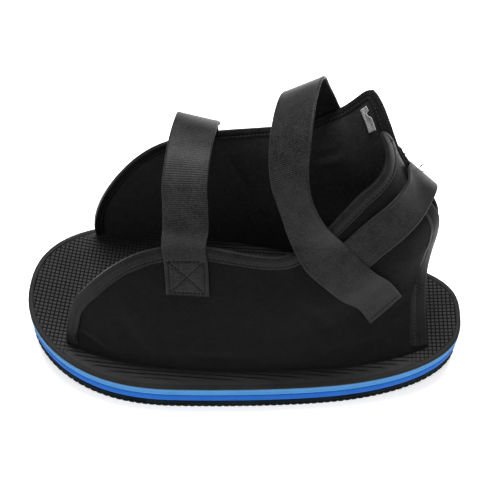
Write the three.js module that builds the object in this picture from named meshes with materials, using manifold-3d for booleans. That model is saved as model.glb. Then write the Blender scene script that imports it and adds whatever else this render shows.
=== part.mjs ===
// Post operative shoe that fits either foot: a rocker sole, two soft side walls sewn to its top sheet, and
// three webbing straps. Millimetres, +X from toe to heel, +Y from the near wall to the far wall, +Z up,
// with the floor at z = 0.
import * as THREE from "three";
import Module from "manifold-3d";
import { mergeVertices } from "three/addons/utils/BufferGeometryUtils.js";

// Sole
const soleLength = 290;
const soleWidth = 132;
const outsoleThickness = 6.8; // with its lugs
const lowerFoamThickness = 7.4;
const upperFoamThickness = 7.4;
const topSheetThickness = 1.8;
const toeSpring = 13; // rise of the underside at the toe tip
const heelSpring = 9;
const toeRockerStart = -0.22; // share of the length where the toe begins to rise
const heelRockerStart = 0.2;
const widestAt = -0.173; // share of the length
const toeRoundness = 2.25; // 2 is an ellipse, more is squarer
const heelTaper = 0.3; // share of the width that the heel loses before its round end
const heelTaperBend = 1.3; // 1 is a straight taper
const heelSquareness = 4.5; // how late the heel begins to round off
const heelCorner = 2.8; // how full its corners are
const tipShare = 0.998; // leaves each tip of the sole a short flat

// Tread
const lugDepth = 3;
const lugPitch = 9;
const lugLength = 6;
const lugInset = 0.6;
const lugRoot = 0.8; // how far a lug reaches up into the outsole
const waistReach = 32; // bars nearer the middle than this clear the floor, except the middle one
const waistClearance = 0.5;

// Upper
const wallHeight = 95; // from the top sheet to a wall's low point at the instep
const wallThickness = 2.6;
const wallBelly = 4; // how far a wall swells at half its height
const bellyRun = 1.15; // above 1 the swelling ends before the heel
const strapWidth = 26;
const strapThickness = 1.6;
const labelThickness = 0.8;

// Gaps
const layerGap = 0.3; // between the layers of the sole
const seatGap = 0.4; // between a strap or label and what it lies on
const hemGap = 1; // from the top sheet to the middle of a wall's lower edge

// How finely the curved pieces are divided
const soleStations = 40;
const wallColumns = 46;
const wallRows = 11;
const strapSteps = 4; // between two rows of a strap's table
const strapStrips = 4; // across a strap

const soleThickness = outsoleThickness + lowerFoamThickness + upperFoamThickness + topSheetThickness + 3 * layerGap;

const wasm = await Module();
wasm.setup();

const vector = (x, y, z) => new THREE.Vector3(x, y, z);

// A closed body from points and triangles, turned so that its faces point out.
function closedBody(points, triangles) {
  const volume = triangles.reduce((sum, [a, b, c]) => sum + points[a].dot(points[b].clone().cross(points[c])), 0);
  const outward = volume < 0 ? triangles.map(([a, b, c]) => [a, c, b]) : triangles;
  const geometry = new THREE.BufferGeometry().setFromPoints(points);
  geometry.setIndex(outward.flat());
  return geometry;
}

function quad(a, b, c, d) {
  return [
    [a, b, c],
    [a, c, d],
  ];
}

// A slab through a row of rectangles across the shoe, one at each station along it.
function crossLoft(sections) {
  const points = sections.flatMap(({ x, half, low, high }) => [
    vector(x, -half, low),
    vector(x, half, low),
    vector(x, half, high),
    vector(x, -half, high),
  ]);
  const last = 4 * (sections.length - 1);
  const triangles = [...quad(3, 2, 1, 0), ...quad(last, last + 1, last + 2, last + 3)];
  for (let at = 0; at < last; at += 4)
    for (let corner = 0; corner < 4; corner++) {
      const next = (corner + 1) % 4;
      triangles.push(...quad(at + corner, at + next, at + 4 + next, at + 4 + corner));
    }
  return closedBody(points, triangles);
}

// A sheet of even thickness whose middle passes through a grid of points.
function thickSheet(grid, thickness) {
  const columns = grid.length;
  const rows = grid[0].length;
  const between = (list, at) => [list[Math.max(at - 1, 0)], list[Math.min(at + 1, list.length - 1)]];
  const points = [];
  grid.forEach((column, i) =>
    column.forEach((point, j) => {
      const [before, after] = between(grid, i);
      const [below, above] = between(column, j);
      const along = after[j].clone().sub(before[j]);
      const up = above.clone().sub(below);
      const out = along.cross(up).setLength(thickness / 2);
      points.push(point.clone().add(out), point.clone().sub(out));
    }),
  );
  const front = (i, j) => 2 * (i * rows + j);
  const back = (i, j) => front(i, j) + 1;
  const triangles = [];
  for (let i = 0; i < columns - 1; i++)
    for (let j = 0; j < rows - 1; j++) {
      triangles.push(...quad(front(i, j), front(i + 1, j), front(i + 1, j + 1), front(i, j + 1)));
      triangles.push(...quad(back(i, j), back(i, j + 1), back(i + 1, j + 1), back(i + 1, j)));
    }
  const [right, top] = [columns - 1, rows - 1];
  for (let i = 0; i < right; i++) {
    triangles.push(...quad(front(i, 0), back(i, 0), back(i + 1, 0), front(i + 1, 0)));
    triangles.push(...quad(front(i, top), front(i + 1, top), back(i + 1, top), back(i, top)));
  }
  for (let j = 0; j < top; j++) {
    triangles.push(...quad(front(0, j), front(0, j + 1), back(0, j + 1), back(0, j)));
    triangles.push(...quad(front(right, j), back(right, j), back(right, j + 1), front(right, j + 1)));
  }
  return closedBody(points, triangles);
}

function solidOf(geometry) {
  const bare = new THREE.BufferGeometry().setAttribute("position", geometry.getAttribute("position"));
  bare.setIndex(geometry.index);
  const merged = mergeVertices(bare, 1e-3);
  return new wasm.Manifold(
    new wasm.Mesh({
      numProp: 3,
      vertProperties: merged.attributes.position.array,
      triVerts: new Uint32Array(merged.index.array),
    }),
  );
}

function geometryOf(solid) {
  const { vertProperties, triVerts } = solid.getMesh();
  const geometry = new THREE.BufferGeometry().setAttribute("position", new THREE.BufferAttribute(vertProperties, 3));
  geometry.setIndex(new THREE.BufferAttribute(triVerts, 1));
  return geometry;
}

// Half of the sole's width at a place along it: a round toe, then a taper to a squarer heel.
function halfWidthAt(x) {
  const widest = widestAt * soleLength;
  const toToe = (tipShare * (widest - x)) / (soleLength / 2 + widest);
  const toHeel = (tipShare * (x - widest)) / (soleLength / 2 - widest);
  const toe = (1 - toToe ** toeRoundness) ** (1 / toeRoundness);
  const heel = (1 - heelTaper * toHeel ** heelTaperBend) * (1 - toHeel ** heelSquareness) ** (1 / heelCorner);
  return ((x < widest ? toe : heel) * soleWidth) / 2;
}

// Height of the sole's underside above the floor.
function riseAt(x) {
  const toeStart = toeRockerStart * soleLength;
  const heelStart = heelRockerStart * soleLength;
  const toToe = Math.max(0, (toeStart - x) / (soleLength / 2 + toeStart));
  const toHeel = Math.max(0, (x - heelStart) / (soleLength / 2 - heelStart));
  return toeSpring * toToe ** 2 + heelSpring * toHeel ** 2;
}

const topSheetAt = (x) => riseAt(x) + soleThickness;

function soleLayer(bottom, thickness) {
  const sections = Array.from({ length: soleStations + 1 }, (_, i) => {
    const x = (-soleLength / 2) * Math.cos((Math.PI * i) / soleStations);
    return { x, half: halfWidthAt(x), low: riseAt(x) + bottom, high: riseAt(x) + bottom + thickness };
  });
  return crossLoft(sections);
}

// Bars across the tread, square to the shoe's length. The shoe stands on those of the forefoot and the heel,
// and on the one in the middle.
function outsole() {
  let solid = solidOf(soleLayer(lugDepth, outsoleThickness - lugDepth));
  const end = soleLength / 2 - lugLength;
  for (let start = -end; start + lugLength < end; start += lugPitch) {
    const half = Math.min(halfWidthAt(start), halfWidthAt(start + lugLength)) - lugInset;
    const fromMiddle = Math.abs(start + lugLength / 2);
    const clearance = fromMiddle > lugPitch / 2 && fromMiddle < waistReach ? waistClearance : 0;
    const sections = [0, 0.5, 1].map((share) => {
      const x = start + share * lugLength;
      return { x, half, low: riseAt(x) + clearance, high: riseAt(x) + lugDepth + lugRoot };
    });
    solid = solid.add(solidOf(crossLoft(sections)));
  }
  return geometryOf(solid);
}

// A point of the upper from shares of the sole's length and width and of the wall's height.
function place({ x, y, z }) {
  return vector(x * soleLength, y * soleWidth, soleThickness + z * wallHeight);
}

// The lower edge of each wall follows the top sheet; its upper edge runs from the toe over the instep to the
// tip of the wing behind the ankle, and its rear edge from the heel up to the same tip. Both walls lean to
// the far side as they rise, and the near wing tucks inside the far one.
const nearWallTable = {
  hem: [
    { x: -0.39, y: -0.3 },
    { x: -0.35, y: -0.331 },
    { x: -0.297, y: -0.354 },
    { x: -0.24, y: -0.373 },
    { x: -0.17, y: -0.385 },
    { x: -0.07, y: -0.385 },
    { x: 0.04, y: -0.37 },
    { x: 0.14, y: -0.342 },
    { x: 0.225, y: -0.315 },
    { x: 0.293, y: -0.277 },
    { x: 0.362, y: -0.23 },
    { x: 0.42, y: -0.177 },
  ],
  rim: [
    { x: -0.387, y: -0.27, z: 0.16 },
    { x: -0.379, y: -0.246, z: 0.28 },
    { x: -0.362, y: -0.223, z: 0.447 },
    { x: -0.331, y: -0.215, z: 0.595 },
    { x: -0.3, y: -0.208, z: 0.72 },
    { x: -0.265, y: -0.2, z: 0.837 },
    { x: -0.22, y: -0.188, z: 0.942 },
    { x: -0.17, y: -0.177, z: 1.005 },
    { x: -0.115, y: -0.173, z: 1.037 },
    { x: -0.06, y: -0.177, z: 1.042 },
    { x: -0.01, y: -0.185, z: 1.026 },
    { x: 0.04, y: -0.188, z: 1.011 },
    { x: 0.076, y: -0.185, z: 1.016 },
    { x: 0.11, y: -0.165, z: 1.058 },
    { x: 0.155, y: -0.108, z: 1.137 },
    { x: 0.193, y: -0.031, z: 1.226 },
    { x: 0.224, y: 0.031, z: 1.3 },
    { x: 0.252, y: 0.085, z: 1.342 },
    { x: 0.268, y: 0.146, z: 1.368 },
    { x: 0.273, y: 0.223, z: 1.374 },
    { x: 0.268, y: 0.308, z: 1.363 },
    { x: 0.255, y: 0.4, z: 1.342 },
  ],
  rear: [
    { x: 0.41, y: -0.092, z: 0.195 },
    { x: 0.4, y: 0, z: 0.374 },
    { x: 0.398, y: 0.077, z: 0.5 },
    { x: 0.403, y: 0.131, z: 0.626 },
    { x: 0.408, y: 0.169, z: 0.742 },
    { x: 0.403, y: 0.2, z: 0.858 },
    { x: 0.367, y: 0.238, z: 0.984 },
    { x: 0.326, y: 0.304, z: 1.1 },
    { x: 0.297, y: 0.36, z: 1.205 },
    { x: 0.281, y: 0.395, z: 1.284 },
  ],
};

const farWallTable = {
  hem: [
    { x: -0.376, y: 0.369 },
    { x: -0.348, y: 0.388 },
    { x: -0.297, y: 0.415 },
    { x: -0.207, y: 0.431 },
    { x: -0.086, y: 0.423 },
    { x: 0.028, y: 0.392 },
    { x: 0.155, y: 0.354 },
    { x: 0.276, y: 0.292 },
    { x: 0.362, y: 0.231 },
    { x: 0.42, y: 0.177 },
  ],
  rim: [
    { x: -0.376, y: 0.362, z: 0.16 },
    { x: -0.369, y: 0.356, z: 0.28 },
    { x: -0.352, y: 0.362, z: 0.447 },
    { x: -0.328, y: 0.377, z: 0.595 },
    { x: -0.297, y: 0.4, z: 0.732 },
    { x: -0.262, y: 0.425, z: 0.847 },
    { x: -0.221, y: 0.454, z: 0.932 },
    { x: -0.172, y: 0.483, z: 0.984 },
    { x: -0.121, y: 0.51, z: 1.014 },
    { x: -0.076, y: 0.536, z: 1.015 },
    { x: 0.022, y: 0.581, z: 1.01 },
    { x: 0.1, y: 0.596, z: 1.037 },
    { x: 0.141, y: 0.608, z: 1.105 },
    { x: 0.191, y: 0.619, z: 1.205 },
    { x: 0.228, y: 0.623, z: 1.332 },
    { x: 0.245, y: 0.615, z: 1.389 },
  ],
  rear: [
    { x: 0.41, y: 0.169, z: 0.216 },
    { x: 0.402, y: 0.169, z: 0.374 },
    { x: 0.4, y: 0.177, z: 0.532 },
    { x: 0.403, y: 0.2, z: 0.689 },
    { x: 0.407, y: 0.238, z: 0.826 },
    { x: 0.38, y: 0.285, z: 0.953 },
    { x: 0.337, y: 0.335, z: 1.079 },
    { x: 0.312, y: 0.39, z: 1.195 },
    { x: 0.3, y: 0.443, z: 1.279 },
    { x: 0.276, y: 0.523, z: 1.358 },
  ],
};

// The middle surface of a wall, u from toe to heel and v from its hem to its rim. side is -1 for the near
// wall and +1 for the far one.
function wallSurface({ hem, rim, rear }, side) {
  const through = (points) => new THREE.CatmullRomCurve3(points, false, "centripetal");
  const hemPoints = hem.map(({ x, y }) => vector(x * soleLength, y * soleWidth, topSheetAt(x * soleLength) + hemGap));
  const rimPoints = rim.map(place);
  const lower = through(hemPoints);
  const upper = through(rimPoints);
  const back = through([hemPoints.at(-1), ...rear.map(place), rimPoints.at(-1)]);

  const inside = (u, v) => {
    const bend = back.getPointAt(v).sub(hemPoints.at(-1).clone().lerp(rimPoints.at(-1), v));
    const belly = side * wallBelly * Math.sin(Math.PI * v) * Math.sin(Math.PI * Math.min(bellyRun * u, 1));
    return lower
      .getPointAt(u)
      .lerp(upper.getPointAt(u), v)
      .addScaledVector(bend, u ** 3)
      .add(vector(0, belly, 0));
  };
  const nudge = 0.004; // half the span over which a slope is measured
  const slopes = (u, v) => {
    const [u0, u1] = [Math.max(u - nudge, 0), Math.min(u + nudge, 1)];
    const [v0, v1] = [Math.max(v - nudge, 0), Math.min(v + nudge, 1)];
    return {
      alongU: inside(u1, v).sub(inside(u0, v)).divideScalar(u1 - u0),
      alongV: inside(u, v1).sub(inside(u, v0)).divideScalar(v1 - v0),
    };
  };
  const clamp = (value) => Math.min(Math.max(value, 0), 1);

  // Past an edge the surface runs straight on.
  const point = (u, v) => {
    const { alongU, alongV } = slopes(clamp(u), clamp(v));
    return inside(clamp(u), clamp(v))
      .addScaledVector(alongU, u - clamp(u))
      .addScaledVector(alongV, v - clamp(v));
  };
  const normal = (u, v) => {
    const { alongU, alongV } = slopes(clamp(u), clamp(v));
    return alongU.cross(alongV).normalize().multiplyScalar(-side);
  };
  // The place on the wall that lies one step away from (u, v), lifted off its middle.
  const stepFrom = (u, v, step, lift) => {
    const parts = 4; // the step follows the wall's bend in this many parts
    for (let part = 0; part < parts; part++) {
      const { alongU, alongV } = slopes(clamp(u), clamp(v));
      const [uu, uv, vv] = [alongU.lengthSq(), alongU.dot(alongV), alongV.lengthSq()];
      const [su, sv] = [step.dot(alongU) / parts, step.dot(alongV) / parts];
      const scale = uu * vv - uv * uv;
      u += (su * vv - sv * uv) / scale;
      v += (sv * uu - su * uv) / scale;
    }
    return point(u, v).addScaledVector(normal(u, v), lift);
  };
  return { point, normal, stepFrom };
}

const nearWall = wallSurface(nearWallTable, -1);
const farWall = wallSurface(farWallTable, 1);

function wallBody(wall) {
  const grid = Array.from({ length: wallColumns + 1 }, (_, i) =>
    Array.from({ length: wallRows + 1 }, (_, j) => wall.point(i / wallColumns, j / wallRows)),
  );
  return thickSheet(grid, wallThickness);
}

// A strap's table has a row for each bend. Where a row names a wall, u and v say where the strap's middle
// lies on it and layers how many other straps it lies over. Elsewhere the strap is in the air, and
// acrossX, acrossY and acrossZ say which way its width runs.
const forefootStrapTable = [
  { wall: nearWall, u: 0.399, v: 0.69, layers: 0 },
  { wall: nearWall, u: 0.407, v: 0.8, layers: 0 },
  { wall: nearWall, u: 0.413, v: 0.91, layers: 0 },
  { wall: nearWall, u: 0.418, v: 1.02, layers: 0 },
  { x: -0.116, y: -0.166, z: 1.2, acrossX: 1, acrossY: 0, acrossZ: 0 },
  { x: -0.118, y: -0.11, z: 1.29, acrossX: 1, acrossY: 0, acrossZ: 0.05 },
  { x: -0.118, y: -0.025, z: 1.37, acrossX: 1, acrossY: 0, acrossZ: 0.1 },
  { x: -0.114, y: 0.09, z: 1.428, acrossX: 1, acrossY: -0.05, acrossZ: 0.12 },
  { x: -0.109, y: 0.2, z: 1.437, acrossX: 1, acrossY: -0.08, acrossZ: 0.12 },
  { x: -0.105, y: 0.31, z: 1.4, acrossX: 1, acrossY: -0.05, acrossZ: 0.1 },
  { x: -0.11, y: 0.41, z: 1.31, acrossX: 1, acrossY: 0, acrossZ: 0.05 },
  { x: -0.115, y: 0.485, z: 1.18, acrossX: 1, acrossY: 0.1, acrossZ: 0 },
  { wall: farWall, u: 0.505, v: 1.02, layers: 0.2 },
  { wall: farWall, u: 0.487, v: 0.91, layers: 0 },
  { wall: farWall, u: 0.466, v: 0.8, layers: 0 },
  { wall: farWall, u: 0.443, v: 0.69, layers: 0 },
  { wall: farWall, u: 0.419, v: 0.57, layers: 0 },
  { wall: farWall, u: 0.394, v: 0.45, layers: 0 },
];

const ankleStrapTable = [
  { wall: nearWall, u: 0.851, v: 0.294, layers: 0.3 },
  { wall: nearWall, u: 0.8, v: 0.438, layers: 0.6 },
  { wall: nearWall, u: 0.748, v: 0.585, layers: 1 },
  { wall: nearWall, u: 0.715, v: 0.76, layers: 1 },
  { wall: nearWall, u: 0.7, v: 0.9, layers: 1 },
  { x: 0.116, y: -0.15, z: 1.23, acrossX: 0.79, acrossY: 0.2, acrossZ: 0.55 },
  { x: 0.096, y: -0.11, z: 1.38, acrossX: 0.79, acrossY: 0, acrossZ: 0.6 },
  { x: 0.081, y: -0.055, z: 1.525, acrossX: 0.83, acrossY: -0.06, acrossZ: 0.55 },
  { x: 0.077, y: 0.035, z: 1.63, acrossX: 0.86, acrossY: -0.06, acrossZ: 0.5 },
  { x: 0.08, y: 0.138, z: 1.69, acrossX: 0.88, acrossY: -0.03, acrossZ: 0.48 },
  { x: 0.085, y: 0.245, z: 1.7, acrossX: 0.88, acrossY: 0.03, acrossZ: 0.47 },
  { x: 0.091, y: 0.352, z: 1.675, acrossX: 0.88, acrossY: 0.08, acrossZ: 0.47 },
  { x: 0.099, y: 0.45, z: 1.585, acrossX: 0.86, acrossY: 0.1, acrossZ: 0.48 },
  { x: 0.113, y: 0.53, z: 1.43, acrossX: 0.85, acrossY: 0.1, acrossZ: 0.5 },
  { x: 0.13, y: 0.592, z: 1.25, acrossX: 0.83, acrossY: 0.1, acrossZ: 0.53 },
  { wall: farWall, u: 0.845, v: 1.02, layers: 0.5 },
  { wall: farWall, u: 0.845, v: 0.91, layers: 0.2 },
  { wall: farWall, u: 0.845, v: 0.82, layers: 0.1 },
  { wall: farWall, u: 0.845, v: 0.73, layers: 0.1 },
  { wall: farWall, u: 0.845, v: 0.64, layers: 0.1 },
];

const heelStrapTable = [
  { wall: nearWall, u: 0.735, v: 0.748, layers: 0 },
  { wall: nearWall, u: 0.768, v: 0.75, layers: 0 },
  { wall: nearWall, u: 0.8, v: 0.756, layers: 0 },
  { wall: nearWall, u: 0.832, v: 0.762, layers: 0 },
  { wall: nearWall, u: 0.862, v: 0.765, layers: 0.1 },
  { wall: nearWall, u: 0.89, v: 0.762, layers: 0.3 },
  { wall: nearWall, u: 0.917, v: 0.754, layers: 0.6 },
  { wall: nearWall, u: 0.945, v: 0.748, layers: 1.1 },
  { x: 0.355, y: 0.252, z: 1.095, acrossX: 0.67, acrossY: -0.14, acrossZ: -0.66 },
  { x: 0.353, y: 0.325, z: 1.085, acrossX: 0.68, acrossY: -0.15, acrossZ: -0.7 },
  { x: 0.354, y: 0.412, z: 1.045, acrossX: 0.6, acrossY: -0.15, acrossZ: -0.8 },
  { wall: farWall, u: 0.955, v: 0.69, layers: 1.2 },
  { wall: farWall, u: 0.935, v: 0.68, layers: 0.6 },
];

function strapBody(table) {
  const firstLift = wallThickness / 2 + seatGap + strapThickness / 2;
  const onWall = ({ wall, u, v, layers }, step) =>
    wall.stepFrom(u, v, step, firstLift + layers * (strapThickness + seatGap));
  const middles = table.map((row) => (row.wall ? onWall(row, vector(0, 0, 0)) : place(row)));
  let across = vector(0, 0, 0);
  const bends = table.map((row, i) => {
    const along = middles[Math.min(i + 1, table.length - 1)].clone().sub(middles[Math.max(i - 1, 0)]);
    const width = row.wall
      ? along.cross(row.wall.normal(row.u, row.v))
      : vector(row.acrossX, row.acrossY, row.acrossZ);
    width.setLength(strapWidth / 2);
    if (width.dot(across) < 0) width.negate();
    across = width;
    const edge = (step) => (row.wall ? onWall(row, step) : middles[i].clone().add(step));
    return [edge(width.clone().negate()), middles[i], edge(width)];
  });
  const lineThrough = (points) => new THREE.CatmullRomCurve3(points, false, "centripetal");
  const lines = [0, 1, 2].map((line) => lineThrough(bends.map((bend) => bend[line])));
  const steps = strapSteps * (table.length - 1);
  const grid = Array.from({ length: steps + 1 }, (_, i) => {
    const [left, middle, right] = lines.map((line) => line.getPoint(i / steps));
    return Array.from({ length: strapStrips + 1 }, (_, j) => {
      const w = (2 * j) / strapStrips - 1;
      return vector(0, 0, 0)
        .addScaledVector(left, (w * (w - 1)) / 2)
        .addScaledVector(middle, 1 - w * w)
        .addScaledVector(right, (w * (w + 1)) / 2);
    });
  });
  return thickSheet(grid, strapThickness);
}

// A blank tab sewn into the far wing's edge, on its inner face.
function labelBody() {
  const corner = { u: 0.944, v: 0.842, wide: 0.024, tall: 0.1 };
  const lift = -(wallThickness / 2 + seatGap + labelThickness / 2);
  const grid = [0, 0.5, 1].map((i) =>
    [0, 0.25, 0.5, 0.75, 1].map((j) =>
      farWall.stepFrom(corner.u + i * corner.wide, corner.v + j * corner.tall, vector(0, 0, 0), lift),
    ),
  );
  return thickSheet(grid, labelThickness);
}

const shoe = new THREE.Group();

function add(name, geometry, color, roughness) {
  const mesh = new THREE.Mesh(geometry, new THREE.MeshStandardMaterial({ color, roughness, metalness: 0 }));
  mesh.name = name;
  shoe.add(mesh);
}

const lowerFoamBottom = outsoleThickness + layerGap;
const upperFoamBottom = lowerFoamBottom + lowerFoamThickness + layerGap;
const topSheetBottom = upperFoamBottom + upperFoamThickness + layerGap;
add("outsole", outsole(), 0x1c1d1e, 0.8);
add("midsole_lower", soleLayer(lowerFoamBottom, lowerFoamThickness), 0x2f6fc0, 0.7);
add("midsole_upper", soleLayer(upperFoamBottom, upperFoamThickness), 0x6fb4e6, 0.7);
add("top_sheet", soleLayer(topSheetBottom, topSheetThickness), 0x2b2c2e, 0.9);
add("near_side_wall", wallBody(nearWall), 0x1b1b1d, 0.95);
add("far_side_wall", wallBody(farWall), 0x1b1b1d, 0.95);
add("forefoot_strap", strapBody(forefootStrapTable), 0x343436, 0.85);
add("ankle_strap", strapBody(ankleStrapTable), 0x343436, 0.85);
add("heel_strap", strapBody(heelStrapTable), 0x343436, 0.85);
add("label_tab", labelBody(), 0xb8b8b8, 0.8);

export default shoe;
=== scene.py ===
import math

import bmesh
import bpy
import numpy as np
from mathutils import Matrix, Vector


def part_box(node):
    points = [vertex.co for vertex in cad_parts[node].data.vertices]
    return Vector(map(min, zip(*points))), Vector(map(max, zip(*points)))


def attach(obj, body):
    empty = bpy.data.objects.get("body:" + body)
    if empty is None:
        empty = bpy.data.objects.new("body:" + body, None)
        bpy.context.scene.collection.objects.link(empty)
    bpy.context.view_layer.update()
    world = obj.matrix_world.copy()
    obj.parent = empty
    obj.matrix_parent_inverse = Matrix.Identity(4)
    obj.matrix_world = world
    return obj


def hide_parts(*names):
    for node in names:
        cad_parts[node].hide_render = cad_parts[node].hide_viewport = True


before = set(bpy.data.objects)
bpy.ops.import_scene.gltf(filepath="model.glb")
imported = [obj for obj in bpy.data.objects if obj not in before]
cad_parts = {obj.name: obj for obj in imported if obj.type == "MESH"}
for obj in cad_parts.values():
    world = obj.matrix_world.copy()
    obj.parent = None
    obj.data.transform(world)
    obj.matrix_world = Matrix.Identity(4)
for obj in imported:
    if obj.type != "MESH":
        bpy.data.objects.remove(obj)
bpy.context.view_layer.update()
mm = 0.001

lowCorner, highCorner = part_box("midsole_upper")
length = (highCorner.x - lowCorner.x) / mm
width = (highCorner.y - lowCorner.y) / mm
weldGap = 2e-6  # metres

# Sizes shared by several pieces, as in the CAD
layers = {"outsole": 6.8, "lowerFoam": 7.4, "upperFoam": 7.4, "sheet": 1.8, "gap": 0.3}
soleThickness = 24.3  # the four layers and three gaps
hemGap = 1.0  # from the top sheet to a wall's lower edge
wallHeight = 95.0
wallThickness = 2.6
wallBelly = 4  # how far a wall swells at half its height
bellyRun = 1.15  # above 1 the swelling ends before the heel
strapWidth = 26.0
strapThickness = 1.6
seatGap = 0.4

# Camera at the photo's angle, then floor and lights
viewCam = bpy.data.cameras.new("viewCam")
viewCam.lens = 66.33
viewCam.sensor_width = 36
viewCam.clip_start = 0.01
viewCam.clip_end = 50
camObj = bpy.data.objects.new("viewCam", viewCam)
bpy.context.scene.collection.objects.link(camObj)
camRight = Vector((0.9973, 0.0717, 0.0158)).normalized()
camBack = Vector((0.0287, -0.5792, 0.8147)).normalized()
camRight = (camRight - camRight.dot(camBack) * camBack).normalized()
camUp = camBack.cross(camRight)
camMatrix = Matrix((camRight, camUp, camBack)).transposed().to_4x4()
camMatrix.translation = (0.0145, -0.3207, 0.5485)
camObj.matrix_world = camMatrix
bpy.context.scene.camera = camObj


def softLight(name, spot, size, power, aim=(0.0, 0.0, 0.06)):
    lamp = bpy.data.lights.new(name, "AREA")
    lamp.shape = "DISK"
    lamp.size = size
    lamp.energy = power
    obj = bpy.data.objects.new(name, lamp)
    bpy.context.scene.collection.objects.link(obj)
    obj.location = spot
    obj.rotation_mode = "QUATERNION"
    obj.rotation_quaternion = (Vector(aim) - Vector(spot)).to_track_quat("-Z", "Y")
    return obj


keyLight = softLight("keyLight", (-0.4, -0.95, 1.2), 1.1, 6)
fillLight = softLight("fillLight", (0.7, -0.95, 0.95), 1.1, 4)
softLight("topLight", (-0.05, 0.5, 1.4), 0.8, 36)
keyLight.visible_glossy = False
fillLight.visible_glossy = False
world = bpy.data.worlds.new("studioWorld")
bpy.context.scene.world = world
world.use_nodes = True
world.node_tree.nodes["Background"].inputs["Color"].default_value = (1.0, 1.0, 1.0, 1.0)
world.node_tree.nodes["Background"].inputs["Strength"].default_value = 0.45
bpy.context.scene.view_settings.view_transform = "Standard"


# Materials: add() makes a node and fills its sockets with a value or a link
def add(mat, kind, inputs=None, **settings):
    made = mat.node_tree.nodes.new(kind)
    for key, value in settings.items():
        setattr(made, key, value)
    for key, value in (inputs or {}).items():
        if isinstance(value, bpy.types.NodeSocket):
            mat.node_tree.links.new(value, made.inputs[key])
        else:
            made.inputs[key].default_value = value
    return made


def newMat(name, roughness, specular, sheen=0.0):
    mat = bpy.data.materials.new(name)
    mat.use_nodes = True
    shader = mat.node_tree.nodes["Principled BSDF"]
    shader.inputs["Roughness"].default_value = roughness
    shader.inputs["Specular IOR Level"].default_value = specular
    shader.inputs["Sheen Weight"].default_value = sheen
    shader.inputs["Sheen Roughness"].default_value = 0.45
    return mat, shader


def objectCoord(mat):
    return add(mat, "ShaderNodeTexCoord").outputs["Object"]


def noise(mat, coord, scale, detail=4.0, rough=0.55):
    inputs = {"Vector": coord, "Scale": scale, "Detail": detail, "Roughness": rough}
    return add(mat, "ShaderNodeTexNoise", inputs).outputs["Fac"]


def ramp(mat, value, low, high, start=0.3, end=0.7):
    made = add(mat, "ShaderNodeValToRGB", {"Fac": value})
    made.color_ramp.elements[0].position = start
    made.color_ramp.elements[0].color = (*low, 1.0)
    made.color_ramp.elements[1].position = end
    made.color_ramp.elements[1].color = (*high, 1.0)
    return made.outputs["Color"]


def math2(mat, operation, first, second=0.0):
    return add(mat, "ShaderNodeMath", {0: first, 1: second}, operation=operation).outputs[0]


def mixColor(mat, kind, amount, first, second):
    made = add(mat, "ShaderNodeMix", data_type="RGBA", blend_type=kind)
    for socket, value in ((made.inputs[0], amount), (made.inputs[6], first), (made.inputs[7], second)):
        if isinstance(value, bpy.types.NodeSocket):
            mat.node_tree.links.new(value, socket)
        else:
            socket.default_value = value
    return made.outputs[2]


def bump(mat, shader, height, strength, distance, before=None):
    inputs = {"Height": height, "Strength": strength, "Distance": distance}
    if before is not None:
        inputs["Normal"] = before
    made = add(mat, "ShaderNodeBump", inputs).outputs["Normal"]
    mat.node_tree.links.new(made, shader.inputs["Normal"])
    return made


def wave(mat, value, period):
    turned = math2(mat, "MULTIPLY", value, 2 * math.pi / period)
    return math2(mat, "SINE", turned)


# Brushed loop fabric: short fibres; patches lighter and darker at random, partly the fabric's own tone and
# partly painted sheen where the nap would catch light; painted shade in the hollows of the nap's bump
def fabricMat(name, dark, light):
    mat, shader = newMat(name, 0.95, 0.06, 0.03)
    coord = objectCoord(mat)
    patches = noise(mat, coord, 130, 5, 0.7)
    fibres = noise(mat, coord, 1500, 3, 0.7)
    napReliefAndShade = noise(mat, coord, 420, 4, 0.6)
    # Patches lighter and darker at random: partly the fabric's own tone, partly painted sheen of the nap
    color = ramp(mat, patches, dark, light, 0.2, 0.8)
    color = mixColor(mat, "MULTIPLY", 0.75, color, ramp(mat, fibres, (0.45, 0.45, 0.46), (1.5, 1.5, 1.5)))
    # Painted shade: the colour darkens where the nap's bump sinks
    color = mixColor(mat, "MULTIPLY", 0.5, color, ramp(mat, napReliefAndShade, (0.6, 0.6, 0.6), (1.35, 1.35, 1.35)))
    mat.node_tree.links.new(color, shader.inputs["Base Color"])
    first = bump(mat, shader, napReliefAndShade, 0.4, 0.0006)
    bump(mat, shader, fibres, 0.5, 0.0003, first)
    return mat


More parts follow.
